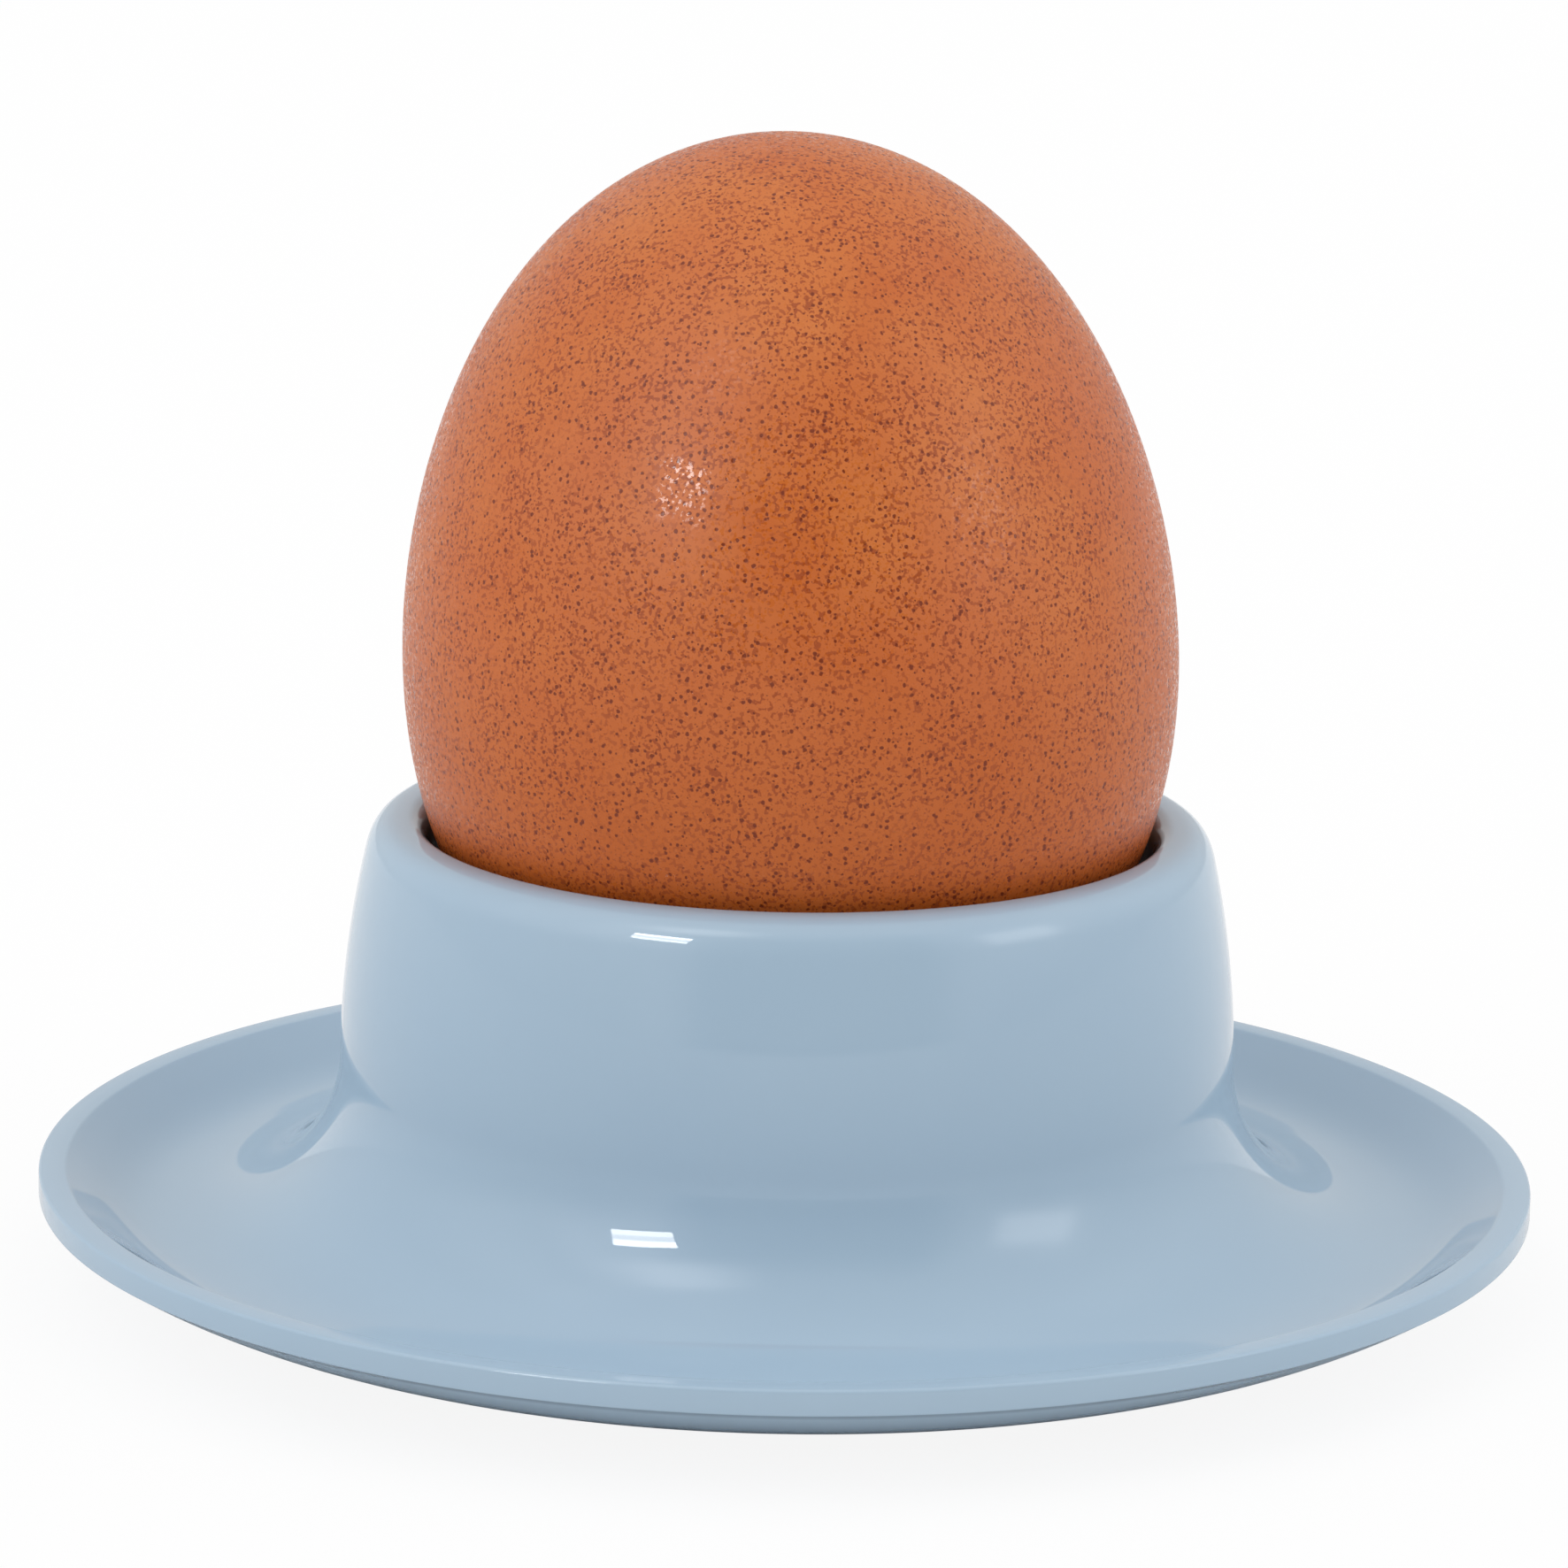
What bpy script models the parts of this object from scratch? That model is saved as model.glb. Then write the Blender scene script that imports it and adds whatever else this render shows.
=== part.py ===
"""Boiled hen's egg standing in a one-piece glazed egg cup with a wide saucer brim.

Units are metres, +Z is up. The origin is on the cup's axis at the level of its
foot, so the part stands on the plane z = 0. Two solids are made:

* egg_cup: foot ring, brim, fillet, tapered wall, rounded rim and bowl, all turned
  from one outline, as the real cup is one piece of glazed stoneware;
* egg: the whole egg in its shell, pointed end up, leaning slightly in the bowl.
"""

import math

import bpy

# ---- Driving dimensions: brim ----
BRIM_RADIUS = 0.04215          # the widest circle, at the brim's outer face
BRIM_CORNER_HEIGHT = 0.0050    # lower corner of the outer face above the table
BRIM_EDGE_HEIGHT = 0.00147     # lower corner to the brim's crest
BRIM_EDGE_ROUND = 0.00020      # rounding between the outer face and the crest
BRIM_CORNER_BEVEL = 0.00012    # the small break on the lower corner
CREST_INNER_RADIUS = 0.04078   # inner edge of the brim's nearly flat crest
CREST_DOME = 0.00003           # the crest's middle above its edges

# ---- Driving dimensions: dish between the crest and the cup's wall ----
DISH_SIDE_SLOPE = math.radians(35.5)  # steepest, on the inner side of the brim
DISH_SIDE_WIDTH = 0.00178      # width of that side, from the crest inwards
DISH_SIDE_ROUND = 0.00022      # width over which it rounds into the crest
DISH_HOLLOW_WIDTH = 0.00440    # width over which it eases off to the dish's floor
FILLET_HEIGHT = 0.00885        # the broad hollow curve between the wall and the floor
FILLET_WIDTH_POWER = 2.25      # 2 for both is an ellipse
FILLET_HEIGHT_POWER = 1.87

# ---- Driving dimensions: cup ----
RIM_HEIGHT = 0.02638           # crest of the rim above the table
RIM_OUTER_RADIUS = 0.02408     # where the wall would meet the rim unrounded
RIM_CREST_RADIUS = 0.02151     # where the rim is highest
RIM_ROUND_HEIGHT = 0.00535     # drop of the outer rounding, if it ended upright
RIM_SQUARENESS = 3.13          # 2 is an ellipse, more is squarer
LIP_ROUND_WIDTH = 0.0011       # rounding of the rim's inner edge, crest to bowl
LIP_ROUND_HEIGHT = 0.0016      # drop of that rounding
WALL_TAPER = math.radians(12.78)     # lean of the wall under the rim
WALL_FOOT_TAPER = math.radians(0.4)  # lean of the wall above the fillet

# ---- Driving dimensions: inside and underside ----
BOWL_FLOOR_HEIGHT = 0.0115     # lowest point of the bowl above the table
BOWL_FULLNESS = 1.90           # 2 is an ellipse, less is slimmer
UNDERSIDE_SLOPE = math.radians(34.0)  # steepest, at the brim's lower corner
UNDERSIDE_RUN = 0.0128         # width over which that slope dies away
FOOT_OUTER_RADIUS = 0.0286
FOOT_INNER_RADIUS = 0.0262
FOOT_ROUND = 0.0004
RECESS_HEIGHT = 0.0038         # hollow under the foot, at the axis

# ---- Driving dimensions: egg ----
EGG_LENGTH = 0.0530
EGG_GIRTH_RADIUS = 0.02155
EGG_POINTEDNESS = 0.100        # narrows the upper end and fills the lower one
EGG_FULLNESS = 0.068           # fills out both shoulders
EGG_CENTRE_HEIGHT = 0.03854    # middle of the egg's length above the table
EGG_OFFSET = -0.00033          # middle of the egg off the cup's axis, along X
EGG_LEAN = math.radians(2.62)  # the top leans this much towards -X

# ---- Facets ----
CUP_STEPS = 64
EGG_STEPS = 48
EGG_RINGS = 24
AXIS_MERGE = 0.00001

CUP_COLOUR = (0.376, 0.507, 0.628, 1.0)
EGG_COLOUR = (0.575, 0.151, 0.027, 1.0)


def clear_scene():
    """Remove every object that is in the scene."""
    for obj in list(bpy.data.objects):
        bpy.data.objects.remove(obj, do_unlink=True)


def rounded_quarter(centre, width, height, count, squareness=2.0):
    """Points over a quarter of an ellipse or squarer curve, from its top outwards.

    The first point is above the centre and the last one beside it. A negative
    width turns the curve towards the axis.
    """
    power = 2.0 / squareness
    points = []
    for i in range(count):
        angle = math.pi / 2 * (1 - i / (count - 1))
        across = max(math.cos(angle), 0.0) ** power
        up = max(math.sin(angle), 0.0) ** power
        points.append((centre[0] + width * across, centre[1] + height * up))
    return points


def bowl_outline(count=9):
    """The bowl's inside, from its lowest point on the axis up to the lip."""
    lip_radius = RIM_CREST_RADIUS - LIP_ROUND_WIDTH
    lip_height = RIM_HEIGHT - LIP_ROUND_HEIGHT
    depth = lip_height - BOWL_FLOOR_HEIGHT
    curve = rounded_quarter((0.0, lip_height), lip_radius, -depth, count, BOWL_FULLNESS)
    return [(0.0, curve[0][1])] + curve[1:]


def rim_outline():
    """The rim, from the rounding of its inner edge over the crest to the wall."""
    inner = rounded_quarter((RIM_CREST_RADIUS, RIM_HEIGHT - LIP_ROUND_HEIGHT), -LIP_ROUND_WIDTH,
                            LIP_ROUND_HEIGHT, 4)
    outer = rounded_quarter((RIM_CREST_RADIUS, RIM_HEIGHT - RIM_ROUND_HEIGHT),
                            RIM_OUTER_RADIUS - RIM_CREST_RADIUS, RIM_ROUND_HEIGHT, 14,
                            RIM_SQUARENESS)
    steepest = 1 / math.tan(WALL_TAPER)
    kept = [outer[0]]
    for before, after in zip(outer, outer[1:]):
        if before[1] - after[1] > steepest * (after[0] - before[0]):
            break
        kept.append(after)
    return list(reversed(inner))[1:-1] + kept


def wall_outline(start, count=5):
    """The wall from the rim's rounding down to the fillet, its taper easing off."""
    drop = start[1] - dish_outline()[0][1] - FILLET_HEIGHT
    bow = (math.tan(WALL_FOOT_TAPER) - math.tan(WALL_TAPER)) / (2 * drop)
    points = []
    for i in range(1, count + 1):
        down = drop * i / count
        points.append((start[0] + math.tan(WALL_TAPER) * down + bow * down ** 2, start[1] - down))
    return points


def fillet_outline(start, count=8):
    """The broad hollow curve from the foot of the wall out to the dish's floor."""
    lean = math.tan(WALL_FOOT_TAPER) * FILLET_HEIGHT
    width = dish_outline()[0][0] - start[0] - lean / 2
    points = []
    for i in range(1, count + 1):
        angle = math.pi / 2 * i / count
        across = 1 - max(math.cos(angle), 0.0) ** (2 / FILLET_WIDTH_POWER)
        down = math.sin(angle) ** (2 / FILLET_HEIGHT_POWER)
        points.append((start[0] + width * across + lean * down * (1 - down / 2),
                       start[1] - FILLET_HEIGHT * down))
    return points


def ease(share):
    """Smooth step from 0 to 1 as the share goes from 0 to 1."""
    share = min(max(share, 0.0), 1.0)
    return share * share * (3 - 2 * share)


def brim_crest_height():
    """Height of the brim's crest above the table."""
    return BRIM_CORNER_HEIGHT + BRIM_EDGE_HEIGHT


def dish_outline(count=9, substeps=8):
    """The dish: from its floor the hollow steepens into the side of the raised brim.

    The slope is summed in small steps from the crest's inner edge inwards, and every
    substeps-th point is kept.
    """
    radius, height = CREST_INNER_RADIUS, brim_crest_height() - CREST_DOME
    reach = DISH_SIDE_WIDTH + DISH_HOLLOW_WIDTH
    step = reach / (count * substeps)
    points = [(radius, height)]
    for i in range(count * substeps):
        inward = (i + 0.5) * step
        slope = DISH_SIDE_SLOPE * ease(inward / DISH_SIDE_ROUND)
        slope *= ease((reach - inward) / DISH_HOLLOW_WIDTH)
        radius -= step
        height -= math.tan(slope) * step
        points.append((radius, height))
    return list(reversed(points[::substeps]))


def brim_edge_outline():
    """The middle of the crest, the brim's rounding, its upright face and the lower corner."""
    round_radius = BRIM_RADIUS - BRIM_EDGE_ROUND
    round_height = brim_crest_height() - CREST_DOME - BRIM_EDGE_ROUND
    rounding = rounded_quarter((round_radius, round_height), BRIM_EDGE_ROUND, BRIM_EDGE_ROUND, 3)
    middle = ((CREST_INNER_RADIUS + round_radius) / 2, brim_crest_height())
    return [middle] + rounding + [(BRIM_RADIUS, BRIM_CORNER_HEIGHT + BRIM_CORNER_BEVEL),
                                  (BRIM_RADIUS - BRIM_CORNER_BEVEL, BRIM_CORNER_HEIGHT)]


def underside_outline(count=5):
    """Under the brim, from the lower corner in to the foot ring, its slope dying away."""
    radius, height = BRIM_RADIUS - BRIM_CORNER_BEVEL, BRIM_CORNER_HEIGHT
    step = UNDERSIDE_RUN / count
    points = []
    for i in range(count):
        slope = UNDERSIDE_SLOPE * (1 - (i + 0.5) / count)
        radius -= step
        height -= math.tan(slope) * step
        points.append((radius, height))
    return points


def foot_outline():
    """The foot ring's outer side, its flat face on the table and its inner side."""
    return [(FOOT_OUTER_RADIUS, FOOT_ROUND),
            (FOOT_OUTER_RADIUS - FOOT_ROUND, 0.0),
            (FOOT_INNER_RADIUS + FOOT_ROUND, 0.0),
            (FOOT_INNER_RADIUS, FOOT_ROUND)]


def recess_outline(count=5):
    """The shallow dome under the cup, from the foot ring in to the axis."""
    low = 2 * FOOT_ROUND
    dome = rounded_quarter((0.0, low), FOOT_INNER_RADIUS - FOOT_ROUND, RECESS_HEIGHT - low, count)
    inward = list(reversed(dome))
    return inward[:-1] + [(0.0, inward[-1][1])]


def cup_outline():
    """The cup's whole outline, from the bowl's floor over the rim to the recess."""
    outline = bowl_outline()
    outline += rim_outline()
    outline += wall_outline(outline[-1])
    outline += fillet_outline(outline[-1])
    outline += dish_outline()[1:]
    outline += brim_edge_outline()
    outline += underside_outline()
    outline += foot_outline()
    outline += recess_outline()
    return outline


def egg_outline():
    """The egg's half outline from its pointed top to its blunt end."""
    points = []
    for i in range(EGG_RINGS + 1):
        angle = math.pi / 2 * (1 - 2 * i / EGG_RINGS)
        across, along = math.cos(angle), math.sin(angle)
        shape = 1 - EGG_POINTEDNESS * along + EGG_FULLNESS * along ** 2
        radius = 0.0 if i in (0, EGG_RINGS) else EGG_GIRTH_RADIUS * across * shape
        points.append((radius, EGG_LENGTH / 2 * along))
    return points


def glossy_material(name, colour, roughness):
    """A Principled material with the part's own colour."""
    material = bpy.data.materials.new(name)
    material.use_nodes = True
    shader = material.node_tree.nodes["Principled BSDF"]
    shader.inputs["Base Color"].default_value = colour
    shader.inputs["Roughness"].default_value = roughness
    shader.inputs["Metallic"].default_value = 0.0
    material.diffuse_color = colour
    return material


def turned_object(name, outline, steps, material, collection):
    """Turn an outline of (radius, height) points about Z into a closed, smooth object."""
    mesh = bpy.data.meshes.new(name)
    vertices = [(radius, 0.0, height) for radius, height in outline]
    edges = [(i, i + 1) for i in range(len(outline) - 1)]
    mesh.from_pydata(vertices, edges, [])
    obj = bpy.data.objects.new(name, mesh)
    collection.objects.link(obj)
    mesh.materials.append(material)
    screw = obj.modifiers.new("Turn", "SCREW")
    screw.axis = "Z"
    screw.angle = math.tau
    screw.steps = steps
    screw.render_steps = steps
    screw.use_merge_vertices = True
    screw.merge_threshold = AXIS_MERGE
    screw.use_smooth_shade = True
    return obj


def build():
    """Make the cup and the egg in a collection of their own."""
    clear_scene()
    collection = bpy.data.collections.new("boiled_egg_in_egg_cup")
    bpy.context.scene.collection.children.link(collection)

    glaze = glossy_material("blue_glaze", CUP_COLOUR, 0.08)
    turned_object("egg_cup", cup_outline(), CUP_STEPS, glaze, collection)

    shell = glossy_material("brown_shell", EGG_COLOUR, 0.38)
    egg = turned_object("egg", egg_outline(), EGG_STEPS, shell, collection)
    egg.location = (EGG_OFFSET, 0.0, EGG_CENTRE_HEIGHT)
    egg.rotation_euler = (0.0, -EGG_LEAN, 0.0)


build()
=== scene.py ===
"""Looks of a boiled brown egg that stands in a pale blue glazed egg cup.

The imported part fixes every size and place. This script puts a finely turned cup and egg
in place of the faceted solids, gives them their glaze and shell, and sets up the studio.
Lengths are metres, and textures are laid out in millimetres.
"""

import logging
import math
from dataclasses import dataclass
from enum import Enum

import bpy
from mathutils import Euler, Matrix, Vector


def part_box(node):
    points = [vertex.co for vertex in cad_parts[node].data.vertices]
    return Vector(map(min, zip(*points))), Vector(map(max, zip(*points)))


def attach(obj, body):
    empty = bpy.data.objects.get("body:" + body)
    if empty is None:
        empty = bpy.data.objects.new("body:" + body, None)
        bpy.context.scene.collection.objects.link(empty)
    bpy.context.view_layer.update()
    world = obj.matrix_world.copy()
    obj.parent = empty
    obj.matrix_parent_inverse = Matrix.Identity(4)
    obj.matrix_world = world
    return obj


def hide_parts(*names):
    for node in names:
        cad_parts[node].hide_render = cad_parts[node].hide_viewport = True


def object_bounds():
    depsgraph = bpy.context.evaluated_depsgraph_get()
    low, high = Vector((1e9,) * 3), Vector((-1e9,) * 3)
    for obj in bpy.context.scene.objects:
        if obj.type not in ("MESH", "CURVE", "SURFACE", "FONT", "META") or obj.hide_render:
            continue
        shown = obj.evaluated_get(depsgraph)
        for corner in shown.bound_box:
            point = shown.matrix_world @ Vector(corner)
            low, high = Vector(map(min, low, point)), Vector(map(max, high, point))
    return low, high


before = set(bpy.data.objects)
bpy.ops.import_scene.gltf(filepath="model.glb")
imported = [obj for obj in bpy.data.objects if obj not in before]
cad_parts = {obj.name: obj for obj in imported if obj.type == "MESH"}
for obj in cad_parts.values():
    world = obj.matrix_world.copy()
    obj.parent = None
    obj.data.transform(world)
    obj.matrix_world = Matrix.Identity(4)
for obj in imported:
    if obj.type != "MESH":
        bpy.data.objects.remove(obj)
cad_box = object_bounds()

log = logging.getLogger("egg_cup")

Outline = list[tuple[float, float]]
Colour = tuple[float, float, float, float]
Triple = tuple[float, float, float]
Feed = float | bpy.types.NodeSocket
Tint = Colour | bpy.types.NodeSocket

MM_PER_M = 1000.0
AXIS_MERGE = 0.000001


# ---- Turned shapes ----

def quarter_curve(centre: tuple[float, float], width: float, height: float, count: int,
                  squareness: float = 2.0) -> Outline:
    """Points over a quarter of an ellipse or squarer curve, from its top outwards.

    Args:
        centre: radius and height of the curve's centre.
        width: reach away from the axis, negative towards it.
        height: reach upwards, negative downwards.
        count: number of points, both ends included.
        squareness: 2 is an ellipse, more is squarer.

    Returns:
        The points, the first above the centre and the last one beside it.
    """
    power = 2.0 / squareness
    points = []
    for i in range(count):
        angle = math.pi / 2 * (1 - i / (count - 1))
        across = max(math.cos(angle), 0.0) ** power
        up = max(math.sin(angle), 0.0) ** power
        points.append((centre[0] + width * across, centre[1] + height * up))
    return points


def ease(share: float) -> float:
    """Smooth step from 0 to 1 as the share goes from 0 to 1."""
    share = min(max(share, 0.0), 1.0)
    return share * share * (3 - 2 * share)


def turn(name: str, outline: Outline, steps: int) -> bpy.types.Object:
    """Turn an outline about Z into a smooth closed mesh object.

    Args:
        name: name of the piece.
        outline: radius and height of each point, starting and ending on the axis.
        steps: number of facets round the axis.

    Returns:
        The new object, linked to the scene, its modifier applied.
    """
    mesh = bpy.data.meshes.new(name + "_outline")
    mesh.from_pydata([(radius, 0.0, height) for radius, height in outline],
                     [(i, i + 1) for i in range(len(outline) - 1)], [])
    source = bpy.data.objects.new(name + "_outline", mesh)
    bpy.context.scene.collection.objects.link(source)
    screw = source.modifiers.new("Turn", "SCREW")
    screw.axis = "Z"
    screw.steps = steps
    screw.render_steps = steps
    screw.use_merge_vertices = True
    screw.merge_threshold = AXIS_MERGE
    screw.use_smooth_shade = True
    depsgraph = bpy.context.evaluated_depsgraph_get()
    turned = bpy.data.meshes.new_from_object(source.evaluated_get(depsgraph))
    turned.name = name
    bpy.data.objects.remove(source, do_unlink=True)
    bpy.data.meshes.remove(mesh)
    piece = bpy.data.objects.new(name, turned)
    bpy.context.scene.collection.objects.link(piece)
    return piece


def size_of(piece: bpy.types.Object) -> tuple[Vector, Vector]:
    """Lowest and highest corner of a piece in the part's frame.

    Args:
        piece: the mesh object.

    Returns:
        The lowest corner and the highest corner.
    """
    corners = [piece.matrix_world @ vertex.co for vertex in piece.data.vertices]
    low = Vector(min(c[axis] for c in corners) for axis in range(3))
    high = Vector(max(c[axis] for c in corners) for axis in range(3))
    return low, high


# ---- Shader helpers ----

def add_node(tree: bpy.types.NodeTree, kind: str, inputs: dict | None = None,
             **settings: object) -> bpy.types.Node:
    """Add a node to a tree, set it up and feed its inputs.

    Args:
        tree: the material's or group's node tree.
        kind: the node's type name.
        inputs: value or output socket for each input, by name or number.
        settings: attributes of the node itself.

    Returns:
        The new node.
    """
    node = tree.nodes.new(kind)
    for name, value in settings.items():
        setattr(node, name, value)
    for key, value in (inputs or {}).items():
        if isinstance(value, bpy.types.NodeSocket):
            tree.links.new(value, node.inputs[key])
        else:
            node.inputs[key].default_value = value
    return node


def calculate(tree: bpy.types.NodeTree, operation: str, *values: Feed) -> bpy.types.NodeSocket:
    """Output of a Math node fed with numbers or sockets in order."""
    return add_node(tree, "ShaderNodeMath", dict(enumerate(values)), operation=operation).outputs[0]


def remap(tree: bpy.types.NodeTree, value: bpy.types.NodeSocket, start: Feed, end: Feed,
          low: float = 0.0, high: float = 1.0) -> bpy.types.NodeSocket:
    """Smoothly carry a value from the range start..end to the range low..high."""
    inputs = {"Value": value, "From Min": start, "From Max": end, "To Min": low, "To Max": high}
    return add_node(tree, "ShaderNodeMapRange", inputs, interpolation_type="SMOOTHSTEP").outputs[0]


def blend_colour(tree: bpy.types.NodeTree, amount: Feed, first: Tint,
                 second: Tint) -> bpy.types.NodeSocket:
    """Mix two colours.

    Args:
        tree: the material's node tree.
        amount: share of the second colour.
        first: colour where the amount is 0.
        second: colour where the amount is 1.

    Returns:
        The mixed colour.
    """
    node = add_node(tree, "ShaderNodeMix", data_type="RGBA")
    for key, value in ((0, amount), (6, first), (7, second)):
        if isinstance(value, bpy.types.NodeSocket):
            tree.links.new(value, node.inputs[key])
        else:
            node.inputs[key].default_value = value
    return node.outputs[2]


def start_group(name: str, inputs: dict[str, tuple[str, object]],
                outputs: dict[str, str]) -> tuple[bpy.types.NodeTree, bpy.types.Node, bpy.types.Node]:
    """Make a shader node group with named sockets.

    Args:
        name: name of the group.
        inputs: socket type and starting value of each input.
        outputs: socket type of each output.

    Returns:
        The group's tree, its input node and its output node.
    """
    tree = bpy.data.node_groups.new(name, "ShaderNodeTree")
    for key, (kind, value) in inputs.items():
        socket = tree.interface.new_socket(key, in_out="INPUT", socket_type=kind)
        socket.default_value = value
    for key, kind in outputs.items():
        tree.interface.new_socket(key, in_out="OUTPUT", socket_type=kind)
    return tree, tree.nodes.new("NodeGroupInput"), tree.nodes.new("NodeGroupOutput")


def place_group(tree: bpy.types.NodeTree, group: bpy.types.NodeTree, **values: Feed) -> bpy.types.Node:
    """Place a group in a material's tree.

    Args:
        tree: the material's node tree.
        group: the group's own tree.
        values: value or output socket for each input, with underscores for spaces.

    Returns:
        The node that stands for the group.
    """
    node = tree.nodes.new("ShaderNodeGroup")
    node.node_tree = group
    for key, value in values.items():
        socket = node.inputs[key.replace("_", " ")]
        if isinstance(value, bpy.types.NodeSocket):
            tree.links.new(value, socket)
        else:
            socket.default_value = value
    return node


@dataclass(frozen=True)
class SharedEffects:
    """Node groups that both finishes use."""

    clouds: bpy.types.NodeTree
    ripples: bpy.types.NodeTree

    @classmethod
    def build(cls) -> "SharedEffects":
        """Make each group once."""
        return cls(cls.make_clouds(), cls.make_ripples())

    @staticmethod
    def make_clouds() -> bpy.types.NodeTree:
        """Soft uneven patches of a given size in millimetres, as a mask.

        Returns:
            The group's tree.
        """
        tree, given, out = start_group(
            "soft_clouds",
            {"Position": ("NodeSocketVector", (0.0, 0.0, 0.0)),
             "Patch Size": ("NodeSocketFloat", 8.0),
             "Raggedness": ("NodeSocketFloat", 2.0),
             "Threshold": ("NodeSocketFloat", 0.5),
             "Softness": ("NodeSocketFloat", 0.25)},
            {"Mask": "NodeSocketFloat"})
        scale = calculate(tree, "DIVIDE", 1.0, given.outputs["Patch Size"])
        noise = add_node(tree, "ShaderNodeTexNoise",
                         {"Vector": given.outputs["Position"], "Scale": scale,
                          "Detail": given.outputs["Raggedness"], "Roughness": 0.55})
        low = calculate(tree, "SUBTRACT", given.outputs["Threshold"], given.outputs["Softness"])
        high = calculate(tree, "ADD", given.outputs["Threshold"], given.outputs["Softness"])
        tree.links.new(remap(tree, noise.outputs[0], low, high), out.inputs["Mask"])
        return tree

    @staticmethod
    def make_ripples() -> bpy.types.NodeTree:
        """Height of a gently uneven surface: long swells with a finer grain on top.

        Returns:
            The group's tree.
        """
        tree, given, out = start_group(
            "surface_ripples",
            {"Position": ("NodeSocketVector", (0.0, 0.0, 0.0)),
             "Swell Size": ("NodeSocketFloat", 9.0),
             "Grain Size": ("NodeSocketFloat", 0.8),
             "Grain Share": ("NodeSocketFloat", 0.1)},
            {"Height": "NodeSocketFloat"})
        heights = []
        for size in ("Swell Size", "Grain Size"):
            scale = calculate(tree, "DIVIDE", 1.0, given.outputs[size])
            noise = add_node(tree, "ShaderNodeTexNoise",
                             {"Vector": given.outputs["Position"], "Scale": scale, "Detail": 1.0})
            heights.append(noise.outputs[0])
        grain = calculate(tree, "MULTIPLY", heights[1], given.outputs["Grain Share"])
        tree.links.new(calculate(tree, "ADD", heights[0], grain), out.inputs["Height"])
        return tree


def start_material(name: str) -> tuple[bpy.types.Material, bpy.types.Node, bpy.types.NodeSocket]:
    """Make a material with a Principled shader.

    Args:
        name: name of the material.

    Returns:
        The material, its Principled node and the surface position in millimetres.
    """
    material = bpy.data.materials.new(name)
    material.use_nodes = True
    tree = material.node_tree
    coordinates = add_node(tree, "ShaderNodeTexCoord")
    millimetres = add_node(tree, "ShaderNodeVectorMath",
                           {0: coordinates.outputs["Object"], 1: (MM_PER_M,) * 3}, operation="MULTIPLY")
    return material, tree.nodes["Principled BSDF"], millimetres.outputs[0]


# ---- Finishes ----

@dataclass(frozen=True)
class BlueGlaze:
    """Smooth pale blue glaze, slightly cloudy, with the faint swells of a fired surface.

    Sizes and depths are in millimetres.
    """

    colour: Colour = (0.354, 0.477, 0.596, 1.0)
    cloud_colour: Colour = (0.366, 0.489, 0.602, 1.0)
    cloud_size: float = 14.0
    roughness: float = 0.025
    hazy_roughness: float = 0.045
    refraction: float = 1.5
    swell_size: float = 11.0
    swell_depth: float = 0.012
    grain_size: float = 1.6
    grain_share: float = 0.02

    def make(self, effects: SharedEffects) -> bpy.types.Material:
        """Build the glaze's material.

        Args:
            effects: the shared node groups.

        Returns:
            The new material.
        """
        material, shader, position = start_material("pale_blue_glaze")
        tree = material.node_tree
        clouds = place_group(tree, effects.clouds, Position=position, Patch_Size=self.cloud_size,
                             Raggedness=3.0, Threshold=0.5, Softness=0.3)
        mask = clouds.outputs["Mask"]
        tree.links.new(blend_colour(tree, mask, self.colour, self.cloud_colour), shader.inputs["Base Color"])
        haze = remap(tree, mask, 0.0, 1.0, self.roughness, self.hazy_roughness)
        tree.links.new(haze, shader.inputs["Roughness"])
        shader.inputs["IOR"].default_value = self.refraction
        ripples = place_group(tree, effects.ripples, Position=position, Swell_Size=self.swell_size,
                              Grain_Size=self.grain_size, Grain_Share=self.grain_share)
        bump = add_node(tree, "ShaderNodeBump", {"Height": ripples.outputs["Height"],
                        "Distance": self.swell_depth / MM_PER_M, "Strength": 1.0})
        tree.links.new(bump.outputs[0], shader.inputs["Normal"])
        return material


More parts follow.
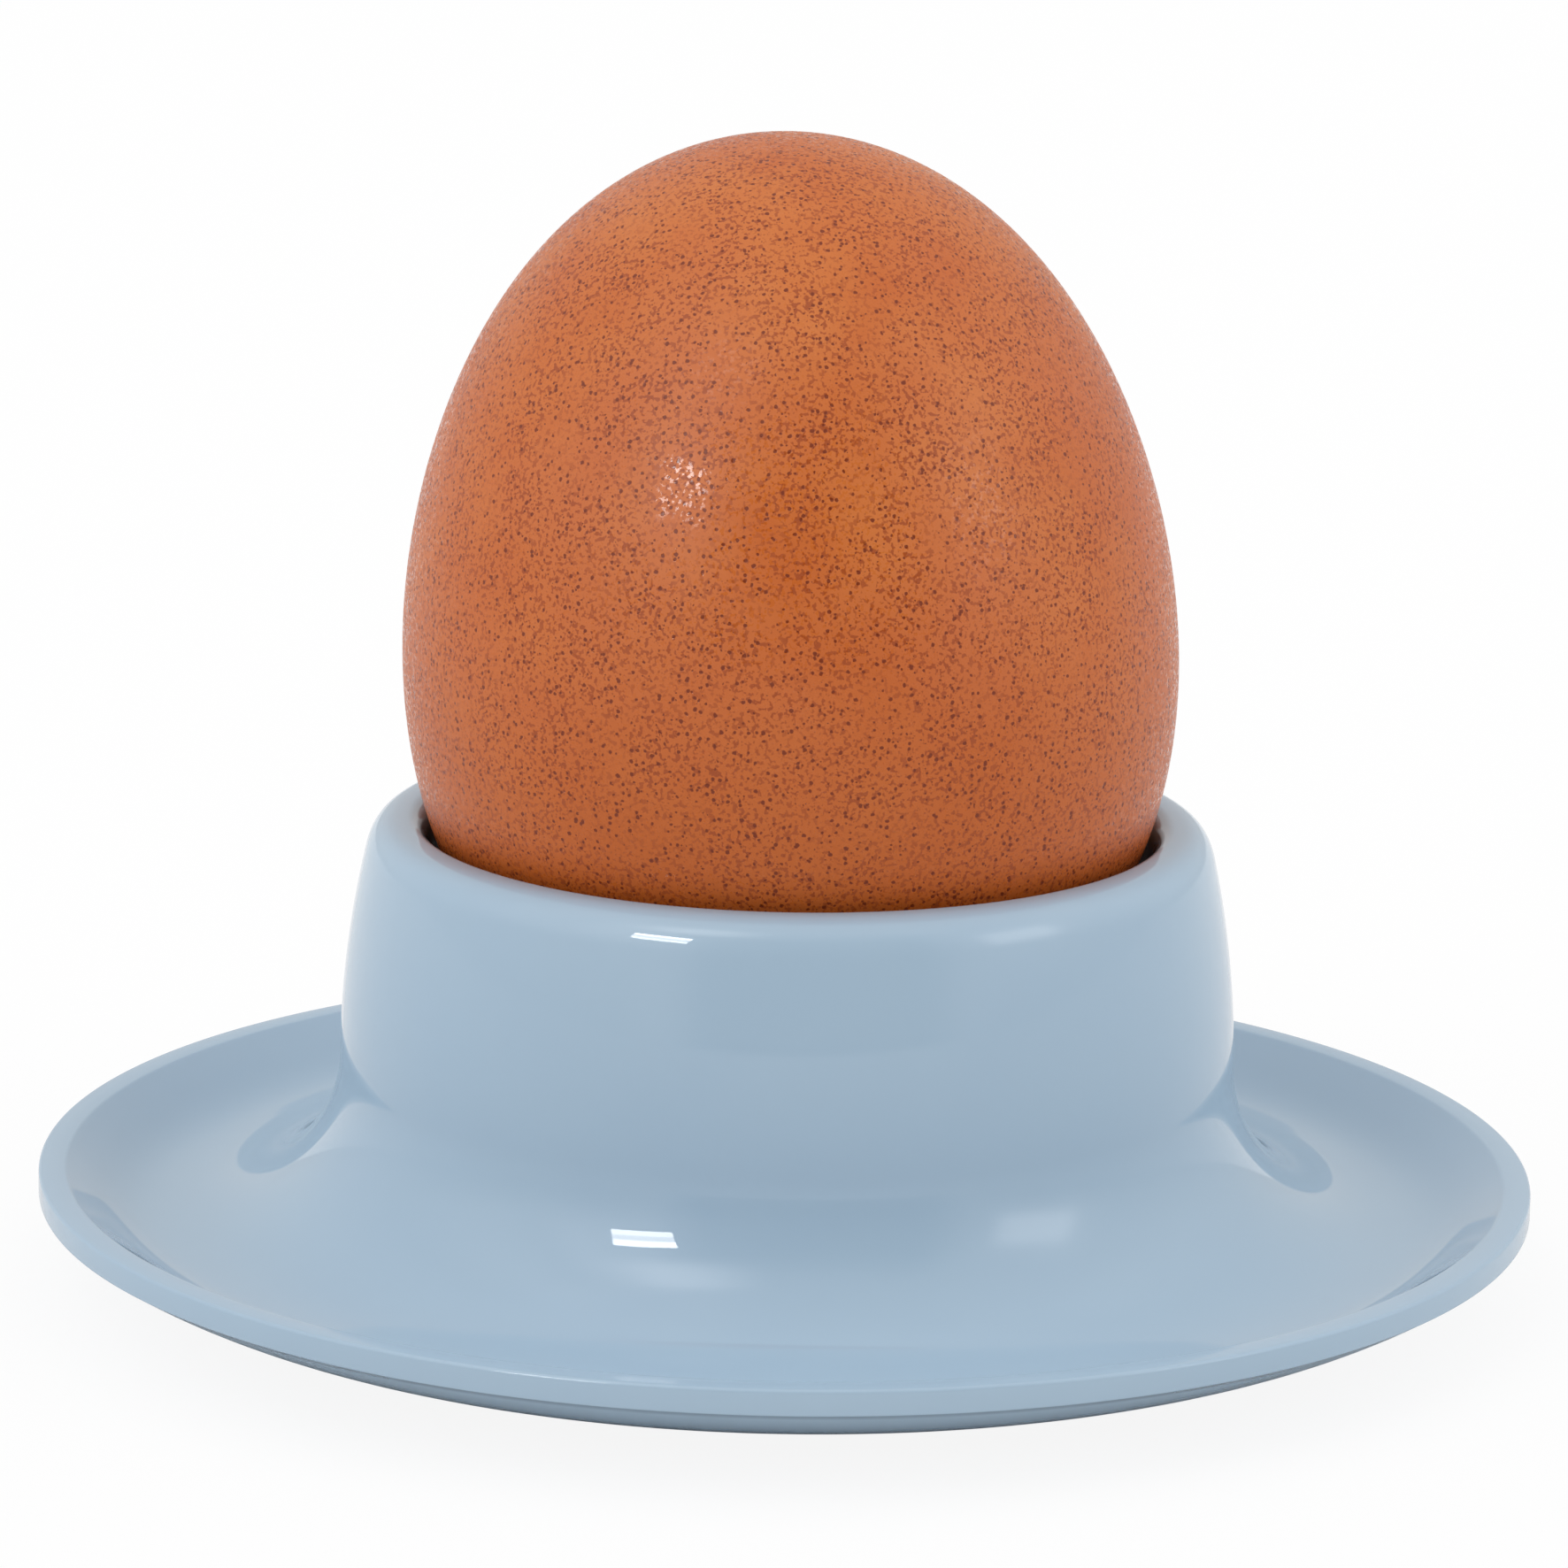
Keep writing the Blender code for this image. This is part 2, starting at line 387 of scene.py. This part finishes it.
@dataclass(frozen=True)
class BrownShell:
    """Orange brown eggshell with fine dark pores, finer flecks, patches of other browns and painted shade
    towards the blunt end.

    Sizes, depths and heights are in millimetres, heights from the egg's middle. Pore
    sizes are shares of a cell, of which there are pores_per_mm along a millimetre.
    """

    colour: Colour = (0.575, 0.151, 0.027, 1.0)
    pale_colour: Colour = (0.614, 0.187, 0.042, 1.0)
    # The deep brown tints random patches and is also the colour of the painted shade towards the blunt end.
    deep_patch_and_shade_colour: Colour = (0.518, 0.111, 0.013, 1.0)
    red_colour: Colour = (0.537, 0.127, 0.029, 1.0)
    fleck_colour: Colour = (0.300, 0.050, 0.008, 1.0)
    pore_colour: Colour = (0.170, 0.022, 0.003, 1.0)
    pale_patch_size: float = 13.0
    rich_patch_size: float = 9.0
    rich_patch_shift: float = 40.0
    red_patch_size: float = 17.0
    red_patch_shift: float = 90.0
    # Painted shade: from the first height down to the second, the shell deepens up to the given share into
    # the deep brown.
    painted_shade_start_height: float = 4.0
    painted_shade_end_height: float = -12.0
    painted_shade_share: float = 0.8
    fleck_size: float = 0.24
    fleck_strength: float = 0.80
    thinning_size: float = 3.5
    thinned_share: float = 0.35
    pores_per_mm: float = 2.7
    smallest_pore: float = 0.12
    largest_pore: float = 0.38
    pore_core: float = 0.7
    pore_strength: float = 0.92
    outline_wobbles_per_mm: float = 4.0
    outline_wobble: float = 0.16
    roughness: float = 0.42
    polished_roughness: float = 0.09
    polished_size: float = 0.25
    refraction: float = 1.39
    swell_size: float = 1.3
    grain_size: float = 0.22
    grain_share: float = 0.5
    grain_depth: float = 0.003
    pore_depth: float = 0.008

    def make(self, effects: SharedEffects) -> bpy.types.Material:
        """Build the shell's material.

        Args:
            effects: the shared node groups.

        Returns:
            The new material.
        """
        material, shader, position = start_material("speckled_brown_shell")
        tree = material.node_tree
        base = self.ground_colour(tree, effects, position)
        flecks = calculate(tree, "MULTIPLY", self.flecks(tree, effects, position), self.fleck_strength)
        pores = self.pores(tree, position)
        pores_seen = calculate(tree, "MULTIPLY", pores, self.pore_strength)
        base = blend_colour(tree, flecks, base, self.fleck_colour)
        base = blend_colour(tree, pores_seen, base, self.pore_colour)
        tree.links.new(base, shader.inputs["Base Color"])
        polished = place_group(tree, effects.clouds, Position=position, Patch_Size=self.polished_size,
                               Raggedness=1.0, Threshold=0.59, Softness=0.05)
        smooth = remap(tree, polished.outputs["Mask"], 0.0, 1.0, self.roughness, self.polished_roughness)
        tree.links.new(smooth, shader.inputs["Roughness"])
        shader.inputs["IOR"].default_value = self.refraction
        tree.links.new(self.relief(tree, effects, position, pores), shader.inputs["Normal"])
        return material

    def ground_colour(self, tree: bpy.types.NodeTree, effects: SharedEffects,
                      position: bpy.types.NodeSocket) -> bpy.types.NodeSocket:
        """Shell colour under the speckles: patchy, and with painted shade that deepens it towards the blunt
        end.

        Args:
            tree: the shell's node tree.
            effects: the shared node groups.
            position: surface position in millimetres.

        Returns:
            The colour.
        """
        ground = self.colour
        for tint, size, shift in ((self.pale_colour, self.pale_patch_size, 0.0),
                                  (self.deep_patch_and_shade_colour, self.rich_patch_size, self.rich_patch_shift),
                                  (self.red_colour, self.red_patch_size, self.red_patch_shift)):
            moved = add_node(tree, "ShaderNodeVectorMath", {0: position, 1: (shift,) * 3}, operation="ADD")
            patches = place_group(tree, effects.clouds, Position=moved.outputs[0], Patch_Size=size,
                                  Raggedness=4.0, Threshold=0.55, Softness=0.22)
            ground = blend_colour(tree, patches.outputs["Mask"], ground, tint)
        # Painted shade: the shell grows darker towards the blunt end, below the egg's middle.
        height = add_node(tree, "ShaderNodeSeparateXYZ", {0: position}).outputs["Z"]
        painted_low_shade = remap(tree, height, self.painted_shade_start_height, self.painted_shade_end_height, 0.0, self.painted_shade_share)
        return blend_colour(tree, painted_low_shade, ground, self.deep_patch_and_shade_colour)

    def flecks(self, tree: bpy.types.NodeTree, effects: SharedEffects,
               position: bpy.types.NodeSocket) -> bpy.types.NodeSocket:
        """Fine worm-like brown flecks that thin out in patches.

        Args:
            tree: the shell's node tree.
            effects: the shared node groups.
            position: surface position in millimetres.

        Returns:
            The flecks' strength, 0 to 1.
        """
        fine = place_group(tree, effects.clouds, Position=position, Patch_Size=self.fleck_size,
                           Raggedness=1.0, Threshold=0.56, Softness=0.04)
        patchy = place_group(tree, effects.clouds, Position=position, Patch_Size=self.thinning_size,
                             Raggedness=3.0, Threshold=0.45, Softness=0.25)
        kept = remap(tree, patchy.outputs["Mask"], 0.0, 1.0, self.thinned_share, 1.0)
        return calculate(tree, "MULTIPLY", fine.outputs["Mask"], kept)

    def pores(self, tree: bpy.types.NodeTree, position: bpy.types.NodeSocket) -> bpy.types.NodeSocket:
        """Small dark pores of uneven size and outline.

        Args:
            tree: the shell's node tree.
            position: surface position in millimetres.

        Returns:
            The pores' mask, 1 in the middle of a pore.
        """
        wobble = add_node(tree, "ShaderNodeTexNoise",
                          {"Vector": position, "Scale": self.outline_wobbles_per_mm})
        offset = add_node(tree, "ShaderNodeVectorMath",
                          {0: wobble.outputs["Color"], 1: (self.outline_wobble,) * 3}, operation="MULTIPLY")
        bent = add_node(tree, "ShaderNodeVectorMath", {0: position, 1: offset.outputs[0]}, operation="ADD")
        cells = add_node(tree, "ShaderNodeTexVoronoi",
                         {"Vector": bent.outputs[0], "Scale": self.pores_per_mm})
        shade = add_node(tree, "ShaderNodeSeparateColor", {0: cells.outputs["Color"]})
        reach = remap(tree, shade.outputs[0], 0.0, 1.0, self.smallest_pore, self.largest_pore)
        inner = calculate(tree, "MULTIPLY", reach, self.pore_core)
        return remap(tree, cells.outputs["Distance"], reach, inner)

    def relief(self, tree: bpy.types.NodeTree, effects: SharedEffects, position: bpy.types.NodeSocket,
               pores: bpy.types.NodeSocket) -> bpy.types.NodeSocket:
        """Normal of the shell's fine grain, with the pores as dimples.

        Args:
            tree: the shell's node tree.
            effects: the shared node groups.
            position: surface position in millimetres.
            pores: the pores' mask.

        Returns:
            The normal.
        """
        ripples = place_group(tree, effects.ripples, Position=position, Swell_Size=self.swell_size,
                              Grain_Size=self.grain_size, Grain_Share=self.grain_share)
        grain = add_node(tree, "ShaderNodeBump", {"Height": ripples.outputs["Height"],
                         "Distance": self.grain_depth / MM_PER_M, "Strength": 1.0})
        dimples = add_node(tree, "ShaderNodeBump",
                           {"Height": pores, "Distance": self.pore_depth / MM_PER_M, "Strength": 1.0,
                            "Normal": grain.outputs[0]}, invert=True)
        return dimples.outputs[0]


class Finish(Enum):
    """The two finishes: the cup's glaze and the egg's shell."""

    GLAZE = "glaze"
    EGGSHELL = "eggshell"

    def material(self, effects: SharedEffects) -> bpy.types.Material:
        """Build the material of this finish."""
        recipe = BlueGlaze() if self is Finish.GLAZE else BrownShell()
        return recipe.make(effects)


# ---- Pieces ----

def settle(piece: bpy.types.Object, node: str, finish: Finish, effects: SharedEffects) -> None:
    """Dress a piece and let it stand for its solid on the part's one body.

    Args:
        piece: the mesh object.
        node: name of the solid that it replaces.
        finish: the finish that it wears.
        effects: the shared node groups.
    """
    piece.data.materials.clear()
    piece.data.materials.append(finish.material(effects))
    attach(piece, "root")
    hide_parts(node)


@dataclass
class EggCup:
    """The one-piece cup: bowl, rounded rim, wall, hollow fillet, dish, brim and foot ring."""

    node: str = "egg_cup"
    steps: int = 320
    bowl_points: int = 26
    lip_points: int = 12
    rim_points: int = 60
    edge_points: int = 9
    corner_points: int = 5
    recess_points: int = 16
    brim_corner_height: float = 0.0050
    brim_edge_height: float = 0.00147
    brim_edge_round: float = 0.00020
    brim_corner_bevel: float = 0.00012
    crest_inner_radius: float = 0.04078
    crest_dome: float = 0.00003
    dish_side_slope: float = math.radians(35.5)
    dish_side_width: float = 0.00178
    dish_side_round: float = 0.00022
    dish_hollow_width: float = 0.00440
    fillet_height: float = 0.00885
    fillet_width_power: float = 2.25
    fillet_height_power: float = 1.87
    rim_outer_radius: float = 0.02408
    rim_crest_radius: float = 0.02151
    rim_round_height: float = 0.00535
    rim_squareness: float = 3.13
    lip_round_width: float = 0.0011
    lip_round_height: float = 0.0016
    wall_taper: float = math.radians(12.78)
    wall_foot_taper: float = math.radians(0.4)
    bowl_floor_height: float = 0.0115
    bowl_fullness: float = 1.90
    underside_slope: float = math.radians(34.0)
    underside_run: float = 0.0128
    foot_outer_radius: float = 0.0286
    foot_inner_radius: float = 0.0262
    foot_round: float = 0.0004
    recess_height: float = 0.0038

    def __post_init__(self) -> None:
        """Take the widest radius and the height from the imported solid."""
        low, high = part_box(self.node)
        self.brim_radius = (high.x - low.x) / 2
        self.rim_height = high.z

    @property
    def crest_height(self) -> float:
        """Height of the brim's crest."""
        return self.brim_corner_height + self.brim_edge_height

    @property
    def dish_floor(self) -> tuple[float, float]:
        """Radius and height of the dish's lowest point, where the fillet ends."""
        return self.dish()[0]

    def bowl(self) -> Outline:
        """The bowl's inside.

        Returns:
            The points from the axis up to the lip.
        """
        lip_radius = self.rim_crest_radius - self.lip_round_width
        lip_height = self.rim_height - self.lip_round_height
        curve = quarter_curve((0.0, lip_height), lip_radius, self.bowl_floor_height - lip_height,
                              self.bowl_points, self.bowl_fullness)
        return [(0.0, curve[0][1])] + curve[1:]

    def rim(self) -> Outline:
        """The lip's rounding, the crest and the outer rounding.

        Returns:
            The points beyond the bowl's, down to where the curve has the wall's slope.
        """
        centre = (self.rim_crest_radius, self.rim_height - self.lip_round_height)
        inner = quarter_curve(centre, -self.lip_round_width, self.lip_round_height, self.lip_points)
        outer = quarter_curve((self.rim_crest_radius, self.rim_height - self.rim_round_height),
                              self.rim_outer_radius - self.rim_crest_radius, self.rim_round_height,
                              self.rim_points, self.rim_squareness)
        kept = [outer[0]]
        for before, after in zip(outer, outer[1:]):
            if before[1] - after[1] > (after[0] - before[0]) / math.tan(self.wall_taper):
                break
            kept.append(after)
        return list(reversed(inner))[1:-1] + kept

    def wall(self, start: tuple[float, float], count: int = 16) -> Outline:
        """The wall from the rim down to the fillet, its taper easing off.

        Args:
            start: last point of the rim.
            count: number of points.

        Returns:
            The points below the start, down to the top of the fillet.
        """
        drop = start[1] - self.dish_floor[1] - self.fillet_height
        bow = (math.tan(self.wall_foot_taper) - math.tan(self.wall_taper)) / (2 * drop)
        points = []
        for i in range(1, count + 1):
            down = drop * i / count
            out = math.tan(self.wall_taper) * down + bow * down ** 2
            points.append((start[0] + out, start[1] - down))
        return points

    def fillet(self, start: tuple[float, float], count: int = 50) -> Outline:
        """The broad hollow curve from the wall's foot out to the dish's floor.

        Args:
            start: last point of the wall.
            count: number of points.

        Returns:
            The points beyond the start, the last one on the dish's floor.
        """
        lean = math.tan(self.wall_foot_taper) * self.fillet_height
        width = self.dish_floor[0] - start[0] - lean / 2
        points = []
        for i in range(1, count + 1):
            angle = math.pi / 2 * i / count
            across = 1 - max(math.cos(angle), 0.0) ** (2 / self.fillet_width_power)
            down = math.sin(angle) ** (2 / self.fillet_height_power)
            points.append((start[0] + width * across + lean * down * (1 - down / 2),
                           start[1] - self.fillet_height * down))
        return points

    def dish(self, count: int = 62) -> Outline:
        """The dish: from its floor the hollow steepens into the side of the raised brim.

        Args:
            count: number of steps over which the slope is summed.

        Returns:
            The points from the floor out to the crest's inner edge.
        """
        radius, height = self.crest_inner_radius, self.crest_height - self.crest_dome
        reach = self.dish_side_width + self.dish_hollow_width
        points = [(radius, height)]
        for i in range(count):
            inward = reach * (i + 0.5) / count
            slope = self.dish_side_slope * ease(inward / self.dish_side_round)
            slope *= ease((reach - inward) / self.dish_hollow_width)
            radius -= reach / count
            height -= math.tan(slope) * reach / count
            points.append((radius, height))
        return list(reversed(points))

    def crest(self, count: int = 12) -> Outline:
        """The nearly flat top of the brim.

        Args:
            count: number of steps across it.

        Returns:
            The points between its inner edge and the rounding of its outer edge.
        """
        width = self.brim_radius - self.brim_edge_round - self.crest_inner_radius
        points = []
        for i in range(1, count):
            along = i / count
            points.append((self.crest_inner_radius + width * along,
                           self.crest_height - self.crest_dome * (2 * along - 1) ** 2))
        return points

    def brim_edge(self) -> Outline:
        """The small rounding of the brim's edge, its upright face and the lower corner.

        Returns:
            The points from the crest's end down and in to the underside.
        """
        centre = (self.brim_radius - self.brim_edge_round,
                  self.crest_height - self.crest_dome - self.brim_edge_round)
        corner = (self.brim_radius - self.brim_corner_bevel,
                  self.brim_corner_height + self.brim_corner_bevel)
        rounding = quarter_curve(centre, self.brim_edge_round, self.brim_edge_round, self.edge_points)
        bevel = quarter_curve(corner, self.brim_corner_bevel, -self.brim_corner_bevel, self.corner_points)
        return rounding + list(reversed(bevel))

    def underside(self, count: int = 20) -> Outline:
        """Under the brim, in to the foot ring, its slope dying away.

        Args:
            count: number of steps over which the slope is summed.

        Returns:
            The points from the lower corner inwards.
        """
        radius, height = self.brim_radius - self.brim_corner_bevel, self.brim_corner_height
        step = self.underside_run / count
        points = []
        for i in range(count):
            radius -= step
            height -= math.tan(self.underside_slope * (1 - (i + 0.5) / count)) * step
            points.append((radius, height))
        return points

    def foot(self) -> Outline:
        """The foot ring and the shallow recess inside it.

        Returns:
            The points from the ring's outer side in to the axis.
        """
        outer = quarter_curve((self.foot_outer_radius - self.foot_round, self.foot_round),
                              self.foot_round, -self.foot_round, self.corner_points)
        inner = quarter_curve((self.foot_inner_radius + self.foot_round, self.foot_round),
                              -self.foot_round, -self.foot_round, self.corner_points)
        low = 2 * self.foot_round
        dome = quarter_curve((0.0, low), self.foot_inner_radius - self.foot_round,
                             self.recess_height - low, self.recess_points)
        inward = list(reversed(dome))
        return list(reversed(outer)) + inner + inward[:-1] + [(0.0, inward[-1][1])]

    def outline(self) -> Outline:
        """The cup's whole outline.

        Returns:
            The points from the bowl's floor over the rim and the brim to the recess.
        """
        points = self.bowl() + self.rim()
        points += self.wall(points[-1])
        points += self.fillet(points[-1])
        points += self.dish()[1:] + self.crest() + self.brim_edge()
        return points + self.underside() + self.foot()

    def build(self, effects: SharedEffects) -> bpy.types.Object:
        """Turn the cup and glaze it.

        Args:
            effects: the shared node groups.

        Returns:
            The finished piece.
        """
        piece = turn("glazed_cup", self.outline(), self.steps)
        settle(piece, self.node, Finish.GLAZE, effects)
        return piece


@dataclass
class BoiledEgg:
    """The whole egg in its shell, pointed end up, leaning in the bowl."""

    node: str = "egg"
    steps: int = 256
    rings: int = 150
    length: float = 0.0530
    girth_radius: float = 0.02155
    pointedness: float = 0.100
    fullness: float = 0.068
    lean: float = math.radians(2.62)

    def outline(self) -> Outline:
        """The egg's half outline about its middle.

        Returns:
            The points from the pointed top to the blunt end.
        """
        points = []
        for i in range(self.rings + 1):
            angle = math.pi / 2 * (1 - 2 * i / self.rings)
            across, along = math.cos(angle), math.sin(angle)
            shape = 1 - self.pointedness * along + self.fullness * along ** 2
            radius = 0.0 if i in (0, self.rings) else self.girth_radius * across * shape
            points.append((radius, self.length / 2 * along))
        return points

    def build(self, effects: SharedEffects) -> bpy.types.Object:
        """Turn the egg, lean it, set it where its solid stands and give it its shell.

        Args:
            effects: the shared node groups.

        Returns:
            The finished piece.
        """
        piece = turn("brown_egg", self.outline(), self.steps)
        piece.data.transform(Euler((0.0, -self.lean, 0.0)).to_matrix().to_4x4())
        low, high = size_of(piece)
        cad_low, cad_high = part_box(self.node)
        room = min((cad_high[axis] - cad_low[axis]) / (high[axis] - low[axis]) for axis in range(3))
        snug = min(room, 1.0)
        piece.data.transform(Matrix.Scale(snug, 4))
        piece.location = (cad_low + cad_high) / 2 - (low + high) / 2 * snug
        settle(piece, self.node, Finish.EGGSHELL, effects)
        return piece


# ---- Studio ----

@dataclass(frozen=True)
class SoftField:
    """A soft-edged field of the room's wall, brighter or darker than the rest.

    Angles are degrees. Azimuth 0 is the camera's side and +90 is the right-hand side. A
    field fades over twice its softness, centred on its half width or half height, and
    the change is what it adds to the room's brightness in the middle.
    """

    name: str
    azimuth: float
    elevation: float
    half_width: float
    half_height: float
    side_softness: float
    height_softness: float
    change: float

    def paint(self, tree: bpy.types.NodeTree, azimuth: bpy.types.NodeSocket,
              elevation: bpy.types.NodeSocket) -> bpy.types.NodeSocket:
        """Build the nodes of this field.

        Args:
            tree: the room's node tree.
            azimuth: azimuth of the direction looked at.
            elevation: its elevation.

        Returns:
            How much the field adds to the room's brightness there.
        """
        turned = calculate(tree, "SUBTRACT", azimuth, self.azimuth)
        sideways = calculate(tree, "ABSOLUTE", calculate(tree, "WRAP", turned, 180.0, -180.0))
        upwards = calculate(tree, "ABSOLUTE", calculate(tree, "SUBTRACT", elevation, self.elevation))
        across = remap(tree, sideways, self.half_width + self.side_softness,
                       self.half_width - self.side_softness)
        along = remap(tree, upwards, self.half_height + self.height_softness,
                      self.half_height - self.height_softness)
        amount = calculate(tree, "MULTIPLY", calculate(tree, "MULTIPLY", across, along), self.change)
        amount.node.label = self.name
        return amount


@dataclass(frozen=True)
class StripLamp:
    """A rectangular lamp that only glints, in a given direction from the egg cup.

    Angles are degrees, as for SoftField. Distance, width and height are metres, and the
    radiance is watts per square metre and steradian.
    """

    name: str
    azimuth: float
    elevation: float
    distance: float
    width: float
    height: float
    radiance: float

    def build(self, target: Vector) -> bpy.types.Object:
        """Hang the lamp and point it at the target.

        Args:
            target: the point that it faces.

        Returns:
            The lamp.
        """
        azimuth, elevation = math.radians(self.azimuth), math.radians(self.elevation)
        way = Vector((math.sin(azimuth) * math.cos(elevation), -math.cos(azimuth) * math.cos(elevation),
                      math.sin(elevation)))
        data = bpy.data.lights.new(self.name, "AREA")
        data.shape = "RECTANGLE"
        data.size = self.width
        data.size_y = self.height
        data.energy = self.radiance * math.pi * self.width * self.height
        lamp = bpy.data.objects.new(self.name, data)
        lamp.location = target + way * self.distance
        lamp.rotation_euler = way.to_track_quat("Z", "Y").to_euler()
        lamp.visible_camera = False
        lamp.visible_diffuse = False
        bpy.context.scene.collection.objects.link(lamp)
        return lamp


@dataclass
class Studio:
    """A white table in a pale tent whose front is open to a darker room, and the camera."""

    floor_size: float = 6.0
    floor_colour: Colour = (0.86, 0.86, 0.86, 1.0)
    floor_whiteness: float = 0.9
    wall_brightness: float = 0.91
    roof_gain: float = 0.14
    least_brightness: float = 0.03
    fields: tuple[SoftField, ...] = (
        SoftField("open_front", 7.5, 13.0, 34.0, 31.0, 8.0, 12.0, -0.68),
        SoftField("front_floor_glow", 5.0, 1.0, 40.0, 3.0, 12.0, 4.0, 0.28),
        SoftField("horizon_shade", 0.0, 0.0, 180.0, 3.0, 1.0, 5.0, -0.10),
        SoftField("left_wall", -57.0, 39.0, 38.0, 26.0, 19.0, 8.0, 0.45),
        SoftField("left_lamp_halo", -47.0, 37.0, 13.0, 17.0, 6.5, 11.0, 0.50),
        SoftField("left_lamp_hood", -30.0, 50.0, 15.0, 8.0, 14.0, 5.0, 1.80),
        SoftField("left_roof", -75.0, 70.0, 60.0, 10.0, 30.0, 9.0, 0.25),
        SoftField("right_wall", 88.0, 36.0, 34.0, 25.0, 24.0, 14.0, 0.30),
        SoftField("right_window_glow", 68.0, 23.0, 14.0, 14.0, 9.0, 7.0, 0.45),
        SoftField("right_window", 66.0, 21.0, 11.0, 8.0, 4.0, 5.0, 1.50),
        SoftField("rear_shade", 176.0, 26.0, 42.0, 34.0, 27.0, 16.0, -0.20),
    )
    lamps: tuple[StripLamp, ...] = (
        StripLamp("upper_strip_lamp", -35.8, 29.6, 1.2, 0.31, 0.071, 18.0),
        StripLamp("middle_strip_lamp", -35.8, 26.4, 1.2, 0.31, 0.063, 9.0),
        StripLamp("lower_strip_lamp", -35.8, 23.5, 1.2, 0.31, 0.059, 14.0),
    )
    camera_place: Triple = (-0.00044, -0.400, 0.12306)
    camera_pitch: float = math.radians(13.324)
    camera_roll: float = math.radians(1.046)
    lens: float = 168.32
    sensor: float = 36.0
    near_clip: float = 0.01

    def build(self) -> None:
        """Set up the floor, the room's light, the lamps and the camera."""
        self.build_floor()
        self.build_room()
        target = Vector((0.0, 0.0, cad_box[1].z / 2))
        for lamp in self.lamps:
            lamp.build(target)
        self.build_camera()
        bpy.context.scene.view_settings.view_transform = "Standard"

    def build_floor(self) -> None:
        """Lay the white table top, bleached in view so that only a trace of shadow is left."""
        bpy.ops.mesh.primitive_plane_add(size=self.floor_size, location=(0.0, 0.0, 0.0))
        floor = bpy.context.object
        floor.name = "table_top"
        material = bpy.data.materials.new("white_table")
        material.use_nodes = True
        tree = material.node_tree
        shader = tree.nodes["Principled BSDF"]
        shader.inputs["Base Color"].default_value = self.floor_colour
        shader.inputs["Roughness"].default_value = 1.0
        shader.inputs["Specular IOR Level"].default_value = 0.0
        white = add_node(tree, "ShaderNodeEmission")
        seen = calculate(tree, "MULTIPLY", add_node(tree, "ShaderNodeLightPath").outputs["Is Camera Ray"],
                         self.floor_whiteness)
        mixed = add_node(tree, "ShaderNodeMixShader",
                         {0: seen, 1: shader.outputs[0], 2: white.outputs[0]})
        tree.links.new(mixed.outputs[0], tree.nodes["Material Output"].inputs["Surface"])
        floor.data.materials.append(material)

    def build_room(self) -> None:
        """Paint the tent's walls and roof with soft fields, and show plain white in view."""
        world = bpy.data.worlds.new("pale_tent")
        world.use_nodes = True
        tree = world.node_tree
        way = add_node(tree, "ShaderNodeTexCoord").outputs["Generated"]
        parts = add_node(tree, "ShaderNodeSeparateXYZ", {0: way})
        back = calculate(tree, "MULTIPLY", parts.outputs["Y"], -1.0)
        azimuth = calculate(tree, "DEGREES", calculate(tree, "ARCTAN2", parts.outputs["X"], back))
        elevation = calculate(tree, "DEGREES", calculate(tree, "ARCSINE", parts.outputs["Z"]))
        roof_brightness = self.wall_brightness + self.roof_gain
        total = remap(tree, elevation, 0.0, 90.0, self.wall_brightness, roof_brightness)
        for field in self.fields:
            total = calculate(tree, "ADD", total, field.paint(tree, azimuth, elevation))
        total = calculate(tree, "MAXIMUM", total, self.least_brightness)
        seen = add_node(tree, "ShaderNodeLightPath").outputs["Is Camera Ray"]
        strength = calculate(tree, "MAXIMUM", total, seen)
        tree.links.new(strength, tree.nodes["Background"].inputs["Strength"])
        tree.nodes["Background"].inputs["Color"].default_value = (1.0, 1.0, 1.0, 1.0)
        bpy.context.scene.world = world

    def build_camera(self) -> None:
        """Place the camera that looks slightly down along +Y."""
        data = bpy.data.cameras.new("studio_camera")
        data.sensor_width = self.sensor
        data.lens = self.lens
        data.clip_start = self.near_clip
        camera = bpy.data.objects.new("studio_camera", data)
        camera.location = self.camera_place
        level = Euler((math.pi / 2 - self.camera_pitch, 0.0, 0.0)).to_matrix()
        roll = Euler((0.0, 0.0, self.camera_roll)).to_matrix()
        camera.rotation_euler = (level @ roll).to_euler()
        bpy.context.scene.collection.objects.link(camera)
        bpy.context.scene.camera = camera


def main() -> None:
    """Build the studio and each piece in turn."""
    logging.basicConfig(level=logging.INFO, format="%(message)s")
    Studio().build()
    effects = SharedEffects.build()
    for maker in (EggCup(), BoiledEgg()):
        piece = maker.build(effects)
        low, high = size_of(piece)
        size = [round((high[axis] - low[axis]) * MM_PER_M, 1) for axis in range(3)]
        log.info("%s: %d faces, %s mm", piece.name, len(piece.data.polygons), size)


if __name__ == "__main__":
    main()
